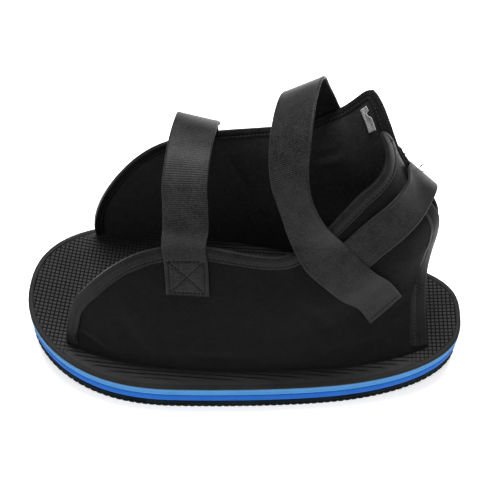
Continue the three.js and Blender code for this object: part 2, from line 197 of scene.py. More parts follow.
# Webbing: ribs across the strap and finer warp columns along it, with painted shade in the grooves between
# them, and flecks lighter and darker at random. UV is in millimetres
def webbingMat(name, dark, light, ribPitch, warpPitch, specular, sheen):
    mat, shader = newMat(name, 0.4, specular, sheen)
    uv = add(mat, "ShaderNodeUVMap", uv_map="UVMap").outputs["UV"]
    parts = add(mat, "ShaderNodeSeparateXYZ", {0: uv}).outputs
    coord = objectCoord(mat)
    wander = math2(mat, "MULTIPLY", noise(mat, coord, 90, 3), 0.5)
    rib = wave(mat, math2(mat, "ADD", parts[0], wander), ribPitch)
    warp = wave(mat, parts[1], warpPitch)
    weaveReliefAndShade = math2(mat, "ADD", math2(mat, "MULTIPLY", rib, 0.34), math2(mat, "MULTIPLY", warp, 0.16))
    weaveReliefAndShade = math2(mat, "ADD", weaveReliefAndShade, 0.5)
    # Flecks lighter and darker at random over the webbing
    mottle = math2(mat, "MULTIPLY", noise(mat, coord, 110, 3, 0.5), 0.3)
    mottle = math2(mat, "ADD", mottle, math2(mat, "MULTIPLY", noise(mat, coord, 900, 3, 0.7), 0.7))
    # Painted shade: the colour darkens in the grooves between ribs and warp columns, where the bump is low
    color = ramp(mat, weaveReliefAndShade, dark, light, 0.15, 0.85)
    flecks = ramp(mat, mottle, (0.4, 0.4, 0.4), (1.7, 1.7, 1.7), 0.36, 0.64)
    color = mixColor(mat, "MULTIPLY", 0.9, color, flecks)
    mat.node_tree.links.new(color, shader.inputs["Base Color"])
    first = bump(mat, shader, weaveReliefAndShade, 0.35, 0.0002)
    bump(mat, shader, noise(mat, coord, 1800, 2), 0.2, 0.00012, first)
    return mat


# Closed cell foam: fine pores with painted shade in them, faint rubbed patches, and a painted highlight on
# the upper part of each layer's side, where its top edge rounds over towards the light. UV height is in
# millimetres
def foamMat(name, dark, light, edge, thickness):
    mat, shader = newMat(name, 0.7, 0.12)
    coord = objectCoord(mat)
    uv = add(mat, "ShaderNodeUVMap", uv_map="UVMap").outputs["UV"]
    height = add(mat, "ShaderNodeSeparateXYZ", {0: uv}).outputs[1]
    patches = noise(mat, coord, 70, 5, 0.7)
    pores = add(mat, "ShaderNodeTexVoronoi", {"Vector": coord, "Scale": 1100.0}).outputs["Distance"]
    color = ramp(mat, patches, dark, light, 0.3, 0.7)
    # Painted highlight: the upper part of the layer's side is mixed towards the paler third colour
    inputs = {"Value": height, "From Min": thickness * 0.62, "From Max": thickness * 0.98}
    upper = add(mat, "ShaderNodeMapRange", inputs).outputs["Result"]
    color = mixColor(mat, "MIX", math2(mat, "MULTIPLY", upper, 0.6), color, (*edge, 1.0))
    # Painted shade in the pores, darker where their bump sinks
    poreShade = ramp(mat, pores, (0.72, 0.72, 0.72), (1.1, 1.1, 1.1), 0.1, 0.6)
    color = mixColor(mat, "MULTIPLY", 0.35, color, poreShade)
    mat.node_tree.links.new(color, shader.inputs["Base Color"])
    first = bump(mat, shader, pores, 0.25, 0.0002)
    bump(mat, shader, noise(mat, coord, 260, 4), 0.25, 0.0004, first)
    return mat


# Moulded rubber with dust in its grain
def rubberMat(name, dark, light, roughness, specular=0.2):
    mat, shader = newMat(name, roughness, specular)
    coord = objectCoord(mat)
    dust = noise(mat, coord, 55, 6, 0.7)
    grain = noise(mat, coord, 900, 3, 0.6)
    color = ramp(mat, dust, dark, light, 0.35, 0.75)
    color = mixColor(mat, "MULTIPLY", 0.6, color, ramp(mat, grain, (0.6, 0.6, 0.6), (1.35, 1.35, 1.35)))
    mat.node_tree.links.new(color, shader.inputs["Base Color"])
    bump(mat, shader, grain, 0.4, 0.0003)
    return mat


# Embossed sheet: rubber whose grooves, a pitch apart both ways, hold shade. UV says how deep each kind is
def waffleMat(name, dark, light, pitch):
    mat = rubberMat(name, dark, light, 0.62)
    shader = mat.node_tree.nodes["Principled BSDF"]
    color = shader.inputs["Base Color"].links[0].from_socket
    parts = add(mat, "ShaderNodeSeparateXYZ", {0: objectCoord(mat)}).outputs
    uv = add(mat, "ShaderNodeUVMap", uv_map="UVMap").outputs["UV"]
    depths = add(mat, "ShaderNodeSeparateXYZ", {0: uv}).outputs
    shades = []
    for part, depth, darkest in ((parts[0], depths[0], 0.6), (parts[1], depths[1], 0.35)):
        gap = math2(mat, "PINGPONG", part, pitch * mm / 2)
        inputs = {
            "Value": gap,
            "From Min": 0.1 * mm,
            "From Max": 0.55 * mm,
            "To Min": 1 - darkest,
            "To Max": 0.0,
        }
        lost = math2(mat, "MULTIPLY", add(mat, "ShaderNodeMapRange", inputs).outputs["Result"], depth)
        shades.append(math2(mat, "SUBTRACT", 1.0, lost))
    shade = math2(mat, "MULTIPLY", *shades)
    shaded = add(mat, "ShaderNodeVectorMath", {0: color, "Scale": shade}, operation="SCALE").outputs[0]
    mat.node_tree.links.new(shaded, shader.inputs["Base Color"])
    return mat


def threadMat(name, color, specular):
    mat, shader = newMat(name, 0.55, specular)
    coord = objectCoord(mat)
    twist = noise(mat, coord, 2200, 2)
    dark = tuple(0.5 * c for c in color)
    mat.node_tree.links.new(ramp(mat, twist, dark, color, 0.35, 0.6), shader.inputs["Base Color"])
    bump(mat, shader, twist, 0.3, 0.0001)
    return mat


def put(obj, mat, slot, *nodes):
    obj.data.materials.clear()
    obj.data.materials.append(mat)
    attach(obj, "root")
    if nodes:
        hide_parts(*nodes)
    return obj


# Meshes
def finishMesh(bm, name, sharp=38):
    bmesh.ops.recalc_face_normals(bm, faces=bm.faces)
    limit = math.radians(sharp)
    for face in bm.faces:
        face.smooth = True
    for edge in bm.edges:
        edge.smooth = edge.calc_face_angle(0) < limit
    mesh = bpy.data.meshes.new(name)
    bm.to_mesh(mesh)
    bm.free()
    obj = bpy.data.objects.new(name, mesh)
    bpy.context.scene.collection.objects.link(obj)
    return obj


# A grid of points becomes a skin; rows that meet are welded, so a ring of points closes by itself
def skin(bm, grid, uv=None):
    rows, columns = grid.shape[:2]
    made = bmesh.ops.create_grid(bm, x_segments=columns - 1, y_segments=rows - 1, size=1)["verts"]
    flat = grid.reshape(-1, 3) * mm
    order = {vert: number for number, vert in enumerate(made)}
    for vert, point in zip(made, flat):
        vert.co = point
    if uv is not None:
        layer = bm.loops.layers.uv.verify()
        flatUv = uv.reshape(-1, 2)
        for face in {face for vert in made for face in vert.link_faces}:
            for loop in face.loops:
                loop[layer].uv = flatUv[order[loop.vert]]
    bmesh.ops.remove_doubles(bm, verts=made, dist=weldGap)


def loft(name, grid, uv=None, sharp=38):
    bm = bmesh.new()
    bm.loops.layers.uv.new("UVMap")
    skin(bm, grid, uv)
    return finishMesh(bm, name, sharp)


def unit(vectors):
    return vectors / np.maximum(np.linalg.norm(vectors, axis=-1, keepdims=True), 1e-9)


# A smooth line through points, read by share of its points or of its length
class Line:
    def __init__(self, points):
        self.points = np.array(points, float)
        before = 2 * self.points[0] - self.points[1]
        after = 2 * self.points[-1] - self.points[-2]
        self.all = np.vstack([before, self.points, after])
        self.shares = np.linspace(0, 1, 201)
        steps = np.linalg.norm(np.diff(self.byPoint(self.shares), axis=0), axis=1)
        run = np.concatenate([[0], np.cumsum(steps)])
        self.length = run[-1]
        self.run = run / run[-1]

    def byPoint(self, share):
        spans = len(self.points) - 1
        at = np.clip(np.atleast_1d(share), 0, 1) * spans
        k = np.minimum(at.astype(int), spans - 1)
        w = (at - k)[:, None]
        p0, p1, p2, p3 = (self.all[k + i] for i in range(4))
        hops = ((p0, p1), (p1, p2), (p2, p3))
        d0, d1, d2 = (np.linalg.norm(b - a, axis=1)[:, None] ** 0.5 for a, b in hops)
        m1 = ((p1 - p0) / d0 - (p2 - p0) / (d0 + d1) + (p2 - p1) / d1) * d1
        m2 = ((p2 - p1) / d1 - (p3 - p1) / (d1 + d2) + (p3 - p2) / d2) * d1
        return p1 + w * m1 + w**2 * (3 * p2 - 3 * p1 - 2 * m1 - m2) + w**3 * (2 * p1 - 2 * p2 + m1 + m2)

    def byLength(self, share):
        return self.byPoint(np.interp(np.atleast_1d(share), self.run, self.shares))


# Sole outline and rocker, as in the CAD
outline = {
    "widestAt": -0.173,  # share of the length
    "toeRoundness": 2.25,  # 2 is an ellipse, more is squarer
    "heelTaper": 0.3,  # share of the width that the heel loses before its round end
    "taperBend": 1.3,  # 1 is a straight taper
    "heelSquareness": 4.5,  # how late the heel begins to round off
    "heelCorner": 2.8,  # how full its corners are
}
rocker = {"toeStart": -0.22, "toeSpring": 13, "heelStart": 0.2, "heelSpring": 9}
widest = outline["widestAt"] * length


def halfWidth(x):
    toToe = np.clip((widest - x) / (length / 2 + widest), 0, 1)
    toHeel = np.clip((x - widest) / (length / 2 - widest), 0, 1)
    toe = (1 - toToe ** outline["toeRoundness"]) ** (1 / outline["toeRoundness"])
    taper = 1 - outline["heelTaper"] * toHeel ** outline["taperBend"]
    heel = taper * (1 - toHeel ** outline["heelSquareness"]) ** (1 / outline["heelCorner"])
    return np.where(x < widest, toe, heel) * width / 2


def riseAt(x):
    toeStart, heelStart = rocker["toeStart"] * length, rocker["heelStart"] * length
    toToe = np.clip((toeStart - x) / (length / 2 + toeStart), 0, None)
    toHeel = np.clip((x - heelStart) / (length / 2 - heelStart), 0, None)
    return rocker["toeSpring"] * toToe**2 + rocker["heelSpring"] * toHeel**2


# Half of the outline from toe tip to heel tip along the near side, evenly spaced, with its outward normals
def nearOutline(count):
    turn = np.linspace(0, math.pi, 4001)
    x = -length / 2 * np.cos(turn)
    y = -halfWidth(x)
    run = np.concatenate([[0], np.cumsum(np.hypot(np.diff(x), np.diff(y)))])
    at = np.linspace(0, run[-1], count)
    line = np.stack([np.interp(at, run, x), np.interp(at, run, y)], axis=1)
    along = np.gradient(line, axis=0)
    normal = unit(np.stack([along[:, 1], -along[:, 0]], axis=1))
    normal[0], normal[-1] = (-1, 0), (1, 0)
    return line, normal, at


# A sole layer whose side has a profile of (inset, height) from its bottom to its top
def soleLayer(name, bottom, profile):
    line, normal, run = nearOutline(230)
    grid, uv = [], []
    for point, out, along in zip(line, normal, run):
        rise = float(riseAt(point[0])) + bottom
        side = [(*(point - out * inset), rise + height) for inset, height in profile]
        across = side + [(x, -y, z) for x, y, z in reversed(side)]
        grid.append(across + across[:1])
        heights = [height for _, height in profile]
        heights = heights + heights[::-1]
        uv.append([(along, height) for height in heights + heights[:1]])
    return loft(name, np.array(grid, float), np.array(uv, float))


# Profile of a foam layer with soft corners and a swollen side
def rounded(thickness, corner, bulge):
    middle = thickness / 2
    return [
        (corner * 1.6, 0.0),
        (corner * 0.7, corner * 0.14),
        (corner * 0.22, corner * 0.5),
        (0.0, corner * 1.1),
        (-bulge, middle),
        (0.0, thickness - corner * 1.1),
        (corner * 0.22, thickness - corner * 0.5),
        (corner * 0.7, thickness - corner * 0.14),
        (corner * 1.6, thickness),
    ]


lowerFoamBottom = layers["outsole"] + layers["gap"]
upperFoamBottom = lowerFoamBottom + layers["lowerFoam"] + layers["gap"]
sheetBottom = upperFoamBottom + layers["upperFoam"] + layers["gap"]

# The third colour of each foam is the painted highlight along the layer's top edge
midBlue = foamMat(
    "midBlueFoam", (0.0035, 0.08, 0.36), (0.008, 0.11, 0.43), (0.008, 0.1, 0.41), layers["lowerFoam"]
)
lightBlue = foamMat(
    "lightBlueFoam", (0.033, 0.17, 0.4), (0.052, 0.21, 0.46), (0.125, 0.3, 0.54), layers["upperFoam"]
)
treadRubber = rubberMat("treadRubber", (0.001, 0.003, 0.0045), (0.006, 0.013, 0.017), 0.85, 0.06)

# Foam layers swell a little past their glued faces
lowerFoam = soleLayer("foam_lower", lowerFoamBottom, rounded(layers["lowerFoam"], 0.9, 0.35))
put(lowerFoam, midBlue, "foam_mid_blue", "midsole_lower")
upperFoam = soleLayer("foam_upper", upperFoamBottom, rounded(layers["upperFoam"], 1.1, 0.3))
put(upperFoam, lightBlue, "foam_light_blue", "midsole_upper")

# Tread: a web over bars, and a toothed rim round them
tread = {
    "webBottom": 2.9,
    "root": 0.6,  # how far rim and bars reach up into the web
    "rimWidth": 3.2,
    "toothPitch": 4.5,
    "toothDepth": 0.45,
    "flare": 0.7,  # how far the rim stands out past the sole's outline
    "barPitch": 9.0,
    "barLength": 6.0,
    "leastHalf": 6,  # no bar reaches less than this to each side
    "waistReach": 32.0,  # bars nearer the middle than this clear the floor, except the middle one
    "waistClearance": 0.5,
}


def treadRim(bm):
    half, normal, run = nearOutline(760)
    back = slice(-2, 0, -1)
    line = np.vstack([half, half[back] * (1, -1)])
    out = np.vstack([normal, normal[back] * (1, -1)])
    along = np.concatenate([run, 2 * run[-1] - run[back]])
    line, out = np.vstack([line, line[:1]]), np.vstack([out, out[:1]])
    along = np.append(along, 2 * run[-1])
    notch = np.clip(np.cos(2 * math.pi * along / tread["toothPitch"]) * 2.2 - 1.2, 0, 1) * tread["toothDepth"]
    grid = []
    for point, outward, cut in zip(line, out, notch):
        rise = float(riseAt(point[0]))
        top = rise + tread["webBottom"] + tread["root"]
        inner = point - outward * tread["rimWidth"]
        outer = point - outward * 0.15
        belly = point + outward * (tread["flare"] - cut)
        foot = point + outward * (tread["flare"] - 0.25 - cut)
        grid.append(
            [
                (*outer, top),
                (*belly, rise + 1.5),
                (*foot, rise + cut),
                (*(inner + outward * 0.4), rise + cut),
                (*inner, rise + 0.5),
                (*inner, top),
                (*outer, top),
            ]
        )
    skin(bm, np.array(grid, float))


def treadBars(bm):
    end = length / 2 - tread["barLength"]
    start = -end
    while start + tread["barLength"] < end:
        middle = start + tread["barLength"] / 2
        narrower = min(float(halfWidth(start)), float(halfWidth(start + tread["barLength"])))
        half = narrower - tread["rimWidth"] + 0.4
        slope = math.atan2(float(riseAt(middle + 1) - riseAt(middle - 1)), 2)
        inWaist = tread["barPitch"] / 2 < abs(middle) < tread["waistReach"]
        clearance = tread["waistClearance"] if inWaist else 0.0
        low = float(riseAt(middle)) + clearance
        tall = tread["webBottom"] + tread["root"] - clearance
        if half > tread["leastHalf"]:
            turn = Matrix.Rotation(-slope, 4, "Y")
            spot = Matrix.Translation(Vector((middle, 0, low + tall / 2)) * mm)
            size = Matrix.Diagonal((tread["barLength"] * mm, 2 * half * mm, tall * mm, 1))
            verts = bmesh.ops.create_cube(bm, size=1, matrix=spot @ turn @ size)["verts"]
            edges = list({edge for vert in verts for edge in vert.link_edges})
            bmesh.ops.bevel(
                bm, geom=edges, offset=0.5 * mm, segments=2, profile=0.5, affect="EDGES", material=-1
            )
        start += tread["barPitch"]


outsoleWeb = [(0.9, 0.0), (0.25, 0.0), (0.05, 0.5), (0.0, 1.6), (0.0, 3.0), (0.12, 3.6), (0.5, 3.9)]
outsole = soleLayer("tread_web", tread["webBottom"], outsoleWeb)
put(outsole, treadRubber, "tread", "outsole")
treadMesh = bmesh.new()
treadRim(treadMesh)
treadBars(treadMesh)
treadFeet = finishMesh(treadMesh, "tread_lugs")
put(treadFeet, treadRubber, "tread")
print("sole layers and tread made")

# Waffle sheet: raised square cells between grooves, inside a smooth margin that rolls down at the rim.
# Along the sole's sides both kinds of groove fade, each from a distance to the edge and over a run
waffle = {
    "pitch": 2.67,
    "groove": 0.17,  # share of the pitch
    "depth": 0.6,
    "margin": 3.4,
    "under": 0.8,  # how far the cells reach under the margin
    "acrossFade": (11, 5),
    "alongFade": (3.5, 1.5),
}
sheetRubber = rubberMat("sheetRubber", (0.005, 0.005, 0.005), (0.012, 0.012, 0.0121), 0.7)
waffleRubber = waffleMat("waffleRubber", (0.0072, 0.0072, 0.0072), (0.014, 0.014, 0.0141), waffle["pitch"])


def waffleLines(reach):
    cells = int(reach / waffle["pitch"]) + 1
    starts = np.arange(-cells, cells + 1) * waffle["pitch"]
    lines = [(s, 1) for s in starts]
    lines += [(s + waffle["groove"] * waffle["pitch"], 0) for s in starts]
    lines += [(s + (1 - waffle["groove"]) * waffle["pitch"], 0) for s in starts]
    return sorted(line for line in lines if abs(line[0]) < reach)


def fadedDepth(middle, toEdge, start, run):
    return 1 - middle * (1 - np.clip((toEdge - start) / run, 0, 1))


def waffleSheet():
    top = sheetBottom + layers["sheet"] - 0.15
    reach = length / 2 - waffle["margin"] + waffle["under"]
    grid, uv = [], []
    for x, sunkAcross in waffleLines(reach):
        middle = np.clip((x / length + 0.43) / 0.06, 0, 1) * np.clip((0.44 - x / length) / 0.08, 0, 1)
        scale = length / (length - 2 * (waffle["margin"] - waffle["under"]))
        limit = max(float(halfWidth(x * scale)) - waffle["margin"] + waffle["under"], 0.3)
        rise = float(riseAt(x))
        row, depths = [], []
        for y, sunkAlong in waffleLines(width / 2):
            inside = abs(y) < limit
            toEdge = limit - abs(y)
            acrossDepth = fadedDepth(middle, toEdge, *waffle["acrossFade"])
            alongDepth = fadedDepth(middle, toEdge, *waffle["alongFade"])
            low = waffle["depth"] * max(sunkAcross * acrossDepth, sunkAlong * alongDepth) if inside else 0.0
            row.append((x, float(np.clip(y, -limit, limit)), rise + top - low))
            depths.append((acrossDepth, alongDepth))
        row.append((x, limit, rise + sheetBottom + 0.1))
        row.append((x, -limit, rise + sheetBottom + 0.1))
        depths += [(0, 0), (0, 0)]
        grid.append(row + row[:1])
        uv.append(depths + depths[:1])
    first, last = np.array(grid[0], float), np.array(grid[-1], float)
    for end in (first, last):
        end[:, 2] = end[:, 2].mean()
    uv = np.array([uv[0], *uv, uv[-1]], float)
    return loft("waffle_cells", np.array([first, *grid, last], float), uv, sharp=24)


def sheetMargin():
    half, normal, run = nearOutline(330)
    back = slice(-2, 0, -1)
    line = np.vstack([half, half[back] * (1, -1), half[:1]])
    out = np.vstack([normal, normal[back] * (1, -1), normal[:1]])
    profile = [
        (0.7, 0.0),
        (0.15, 0.3),
        (0.0, 0.8),
        (0.2, 1.35),
        (0.8, 1.72),
        (1.8, 1.86),
        (2.9, 1.8),
        (waffle["margin"], 1.35),
        (waffle["margin"], 0.0),
    ]
    grid = []
    for point, outward in zip(line, out):
        rise = float(riseAt(point[0])) + sheetBottom
        ring = [(*(point - outward * inset), rise + height) for inset, height in profile]
        grid.append(ring + ring[:1])
    return loft("sheet_margin", np.array(grid, float))


put(waffleSheet(), waffleRubber, "waffle_sheet", "top_sheet")
put(sheetMargin(), sheetRubber, "waffle_sheet")
print("waffle sheet made")


# Walls, from the same shares as the CAD: hem (x, y), rim and rear (x, y, z)
def place(x, y, z):
    return (x * length, y * width, soleThickness + z * wallHeight)


nearTable = {
    "hem": [
        (-0.39, -0.3),
        (-0.35, -0.331),
        (-0.297, -0.354),
        (-0.24, -0.373),
        (-0.17, -0.385),
        (-0.07, -0.385),
        (0.04, -0.37),
        (0.14, -0.342),
        (0.225, -0.315),
        (0.293, -0.277),
        (0.362, -0.23),
        (0.42, -0.177),
    ],
    "rim": [
        (-0.387, -0.27, 0.16),
        (-0.379, -0.246, 0.28),
        (-0.362, -0.223, 0.447),
        (-0.331, -0.215, 0.595),
        (-0.3, -0.208, 0.72),
        (-0.265, -0.2, 0.837),
        (-0.22, -0.188, 0.942),
        (-0.17, -0.177, 1.005),
        (-0.115, -0.173, 1.037),
        (-0.06, -0.177, 1.042),
        (-0.01, -0.185, 1.026),
        (0.04, -0.188, 1.011),
        (0.076, -0.185, 1.016),
        (0.11, -0.165, 1.058),
        (0.155, -0.108, 1.137),
        (0.193, -0.031, 1.226),
        (0.224, 0.031, 1.3),
        (0.252, 0.085, 1.342),
        (0.268, 0.146, 1.368),
        (0.273, 0.223, 1.374),
        (0.268, 0.308, 1.363),
        (0.255, 0.4, 1.342),
    ],
    "rear": [
        (0.41, -0.092, 0.195),
        (0.4, 0.0, 0.374),
        (0.398, 0.077, 0.5),
        (0.403, 0.131, 0.626),
        (0.408, 0.169, 0.742),
        (0.403, 0.2, 0.858),
        (0.367, 0.238, 0.984),
        (0.326, 0.304, 1.1),
        (0.297, 0.36, 1.205),
        (0.281, 0.395, 1.284),
    ],
}
farTable = {
    "hem": [
        (-0.376, 0.369),
        (-0.348, 0.388),
        (-0.297, 0.415),
        (-0.207, 0.431),
        (-0.086, 0.423),
        (0.028, 0.392),
        (0.155, 0.354),
        (0.276, 0.292),
        (0.362, 0.231),
        (0.42, 0.177),
    ],
    "rim": [
        (-0.376, 0.362, 0.16),
        (-0.369, 0.356, 0.28),
        (-0.352, 0.362, 0.447),
        (-0.328, 0.377, 0.595),
        (-0.297, 0.4, 0.732),
        (-0.262, 0.425, 0.847),
        (-0.221, 0.454, 0.932),
        (-0.172, 0.483, 0.984),
        (-0.121, 0.51, 1.014),
        (-0.076, 0.536, 1.015),
        (0.022, 0.581, 1.01),
        (0.1, 0.596, 1.037),
        (0.141, 0.608, 1.105),
        (0.191, 0.619, 1.205),
        (0.228, 0.623, 1.332),
        (0.245, 0.615, 1.389),
    ],
    "rear": [
        (0.41, 0.169, 0.216),
        (0.402, 0.169, 0.374),
        (0.4, 0.177, 0.532),
        (0.403, 0.2, 0.689),
        (0.407, 0.238, 0.826),
        (0.38, 0.285, 0.953),
        (0.333, 0.335, 1.077),
        (0.304, 0.39, 1.187),
        (0.288, 0.443, 1.267),
        (0.268, 0.523, 1.347),
    ],
}


# A wall laid flat, for its creases and its UV
flatSize = (290, 112)
flatWing = 250  # shares count for less towards the rear edge
bareEdge, creaseFade = 10, 14  # creases start this far from an edge and reach full depth over this run


class Wall:
    def __init__(self, table, side, tip, creases):
        hem = []
        for x, y in table["hem"]:
            rise = float(riseAt(x * length))
            hem.append((x * length, y * width, rise + soleThickness + hemGap))
        rim = [place(*row) for row in table["rim"]]
        self.side = side
        self.tip = tip
        self.creases = creases
        self.lower = Line(hem)
        self.upper = Line(rim)
        self.back = Line([hem[-1], *[place(*row) for row in table["rear"]], rim[-1]])
        self.ends = np.array(hem[-1]), np.array(rim[-1])

    def inside(self, u, v):
        low, high = self.ends
        up = v[:, None]
        bend = self.back.byLength(v) - (low + (high - low) * up)
        made = self.lower.byLength(u) * (1 - up) + self.upper.byLength(u) * up + bend * u[:, None] ** 3
        swell = np.sin(math.pi * v) * np.sin(math.pi * np.minimum(bellyRun * u, 1))
        made[:, 1] += self.side * wallBelly * swell
        return made

    def slopes(self, u, v):
        nudge = 0.004
        u0, u1 = np.maximum(u - nudge, 0), np.minimum(u + nudge, 1)
        v0, v1 = np.maximum(v - nudge, 0), np.minimum(v + nudge, 1)
        alongU = (self.inside(u1, v) - self.inside(u0, v)) / (u1 - u0)[:, None]
        alongV = (self.inside(u, v1) - self.inside(u, v0)) / (v1 - v0)[:, None]
        return alongU, alongV

    # Place and outward normal, running straight on past an edge
    def at(self, u, v):
        u, v = np.atleast_1d(u).astype(float), np.atleast_1d(v).astype(float)
        cu, cv = np.clip(u, 0, 1), np.clip(v, 0, 1)
        alongU, alongV = self.slopes(cu, cv)
        made = self.inside(cu, cv) + alongU * (u - cu)[:, None] + alongV * (v - cv)[:, None]
        return made, -self.side * unit(np.cross(alongU, alongV))

    # The point one step away along the wall, lifted off its middle
    def stepFrom(self, u, v, step, lift):
        moves = 4
        for _ in range(moves):
            alongU, alongV = (slope[0] for slope in self.slopes(np.clip([u], 0, 1), np.clip([v], 0, 1)))
            uu, uvDot, vv = alongU @ alongU, alongU @ alongV, alongV @ alongV
            su, sv = step @ alongU / moves, step @ alongV / moves
            scale = uu * vv - uvDot * uvDot
            u, v = u + (su * vv - sv * uvDot) / scale, v + (sv * uu - su * uvDot) / scale
        made, normal = self.at(u, v)
        return made[0] + normal[0] * lift

    # The square of shares with the wing's corner rounded off
    def cut(self, u, v):
        s = np.clip((u - 1 + self.tip["u"]) / self.tip["u"], 0, 1)
        t = np.clip((v - 1 + self.tip["v"]) / self.tip["v"], 0, 1)
        out = 1 + self.tip["reach"] * (s * t) ** 2
        newU = 1 - self.tip["u"] + self.tip["u"] * s * np.sqrt(1 - t * t / 2) * out
        newV = 1 - self.tip["v"] + self.tip["v"] * t * np.sqrt(1 - s * s / 2) * out
        corner = (s > 0) & (t > 0)
        return np.where(corner, newU, u), np.where(corner, newV, v)

    # Depth of the fabric's creases: each is a bent line with a trough and a softer ridge on one side
    def relief(self, u, v):
        total = np.zeros_like(u)
        parts = 24
        flat = np.stack([u, v], axis=1) * flatSize
        for crease in self.creases:
            a, b, c = (np.array(p) * flatSize for p in crease["line"])
            t = np.linspace(0, 1, parts + 1)[:, None]
            line = (1 - t) ** 2 * a + 2 * t * (1 - t) * b + t**2 * c
            gap = np.linalg.norm(flat[:, None, :] - line[None], axis=2)
            near = gap.argmin(axis=1)
            away = gap[np.arange(len(flat)), near]
            direction = np.gradient(line, axis=0)[near]
            offset = flat - line[near]
            sideOf = np.sign(direction[:, 0] * offset[:, 1] - direction[:, 1] * offset[:, 0])
            taper = np.sin(math.pi * np.clip(near / parts, 0.04, 0.96))
            wide = crease["wide"]
            trough = np.exp(-((away / wide) ** 2))
            ridge = 0.55 * np.exp(-(((away - 1.7 * wide) / wide) ** 2)) * (sideOf > 0)
            total += crease["deep"] * taper * (ridge - trough)
        return total


nearCreases = [
    {"line": ((0.03, 0.62), (0.1, 0.38), (0.13, 0.08)), "deep": 0.9, "wide": 5.0},
    {"line": ((0.2, 0.72), (0.24, 0.45), (0.22, 0.1)), "deep": 0.8, "wide": 7.0},
    {"line": ((0.5, 0.86), (0.54, 0.5), (0.52, 0.1)), "deep": 1.0, "wide": 7.0},
    {"line": ((0.6, 0.7), (0.66, 0.42), (0.73, 0.25)), "deep": 0.9, "wide": 5.0},
    {"line": ((0.86, 0.2), (0.91, 0.28), (0.97, 0.24)), "deep": 0.6, "wide": 3.5},
    {"line": ((0.84, 0.62), (0.9, 0.55), (0.97, 0.5)), "deep": 0.8, "wide": 4.5},
    {"line": ((0.3, 0.16), (0.42, 0.11), (0.56, 0.17)), "deep": 0.6, "wide": 4.5},
    {"line": ((0.78, 0.14), (0.84, 0.1), (0.9, 0.13)), "deep": 0.5, "wide": 3.0},
]
farCreases = [
    {"line": ((0.08, 0.7), (0.14, 0.45), (0.15, 0.12)), "deep": 1.3, "wide": 6.0},
    {"line": ((0.52, 0.92), (0.53, 0.6), (0.5, 0.15)), "deep": 1.5, "wide": 3.6},
    {"line": ((0.72, 0.88), (0.78, 0.83), (0.84, 0.85)), "deep": 1.3, "wide": 2.6},
    {"line": ((0.74, 0.77), (0.8, 0.74), (0.86, 0.77)), "deep": 1.2, "wide": 2.6},
    {"line": ((0.32, 0.9), (0.36, 0.6), (0.33, 0.2)), "deep": 1.2, "wide": 6.0},
    {"line": ((0.88, 0.3), (0.92, 0.4), (0.97, 0.38)), "deep": 0.7, "wide": 4.0},
]
nearWall = Wall(nearTable, -1, {"u": 0.03, "v": 0.08, "reach": 0.12}, nearCreases)
farWall = Wall(farTable, 1, {"u": 0.045, "v": 0.11, "reach": 0.37}, farCreases)

wallFabric = fabricMat("wallFabric", (0.0034, 0.0034, 0.0034), (0.0062, 0.0062, 0.0063))
# Inside faces get a copy of the wall fabric about three times paler: painted light, making up for the shade
# inside the shoe
insidePaintedLightFabric = fabricMat("insidePaintedLightFabric", (0.0125, 0.0125, 0.0125), (0.0195, 0.0195, 0.0196))
bindingTape = webbingMat("bindingTape", (0.0035, 0.0035, 0.0035), (0.011, 0.011, 0.0111), 0.9, 1.3, 0.05, 0.0)
sewThread = threadMat("sewThread", (0.028, 0.028, 0.0283), 0.15)
darkThread = threadMat("darkThread", (0.0008, 0.0008, 0.0008), 0.08)
tapeProud = 0.6  # how much thinner a wall's body is than its taped edge


def wallBody(name, wall):
    columns, rows = 230, 84
    u, v = np.meshgrid(np.linspace(0, 1, columns), np.linspace(-0.008, 1, rows), indexing="ij")
    cu, cv = wall.cut(u.ravel(), v.ravel())
    middle, normal = wall.at(cu, cv)
    toSides = np.minimum(cu * flatSize[0], (1 - cu) * flatWing)
    toEdge = np.minimum(toSides, (1 - cv) * flatSize[1])
    share = np.clip((toEdge - bareEdge) / creaseFade, 0, 1)
    middle = middle + normal * (wall.relief(cu, cv) * share)[:, None]
    grid = middle.reshape(columns, rows, 3)
    uv = (np.stack([cu, cv], axis=1) * flatSize).reshape(columns, rows, 2)
    obj = loft(name, grid, uv)
    thick = obj.modifiers.new("thickness", "SOLIDIFY")
    thick.thickness = (wallThickness - tapeProud) * mm
    thick.offset = 0
    thick.material_offset = 1
    return obj


# The sheet's own faces look outward or inward; the other side takes the second material. Inward faces get the
# paler copy of the fabric: painted light for the shade inside the shoe
def dressWall(body, wall):
    outside = sum(face.normal.y * face.area for face in body.data.polygons) * wall.side > 0
    print(body.name, "faces outward" if outside else "faces inward")
    body.data.materials.clear()
    for mat in (wallFabric, insidePaintedLightFabric) if outside else (insidePaintedLightFabric, wallFabric):
        body.data.materials.append(mat)


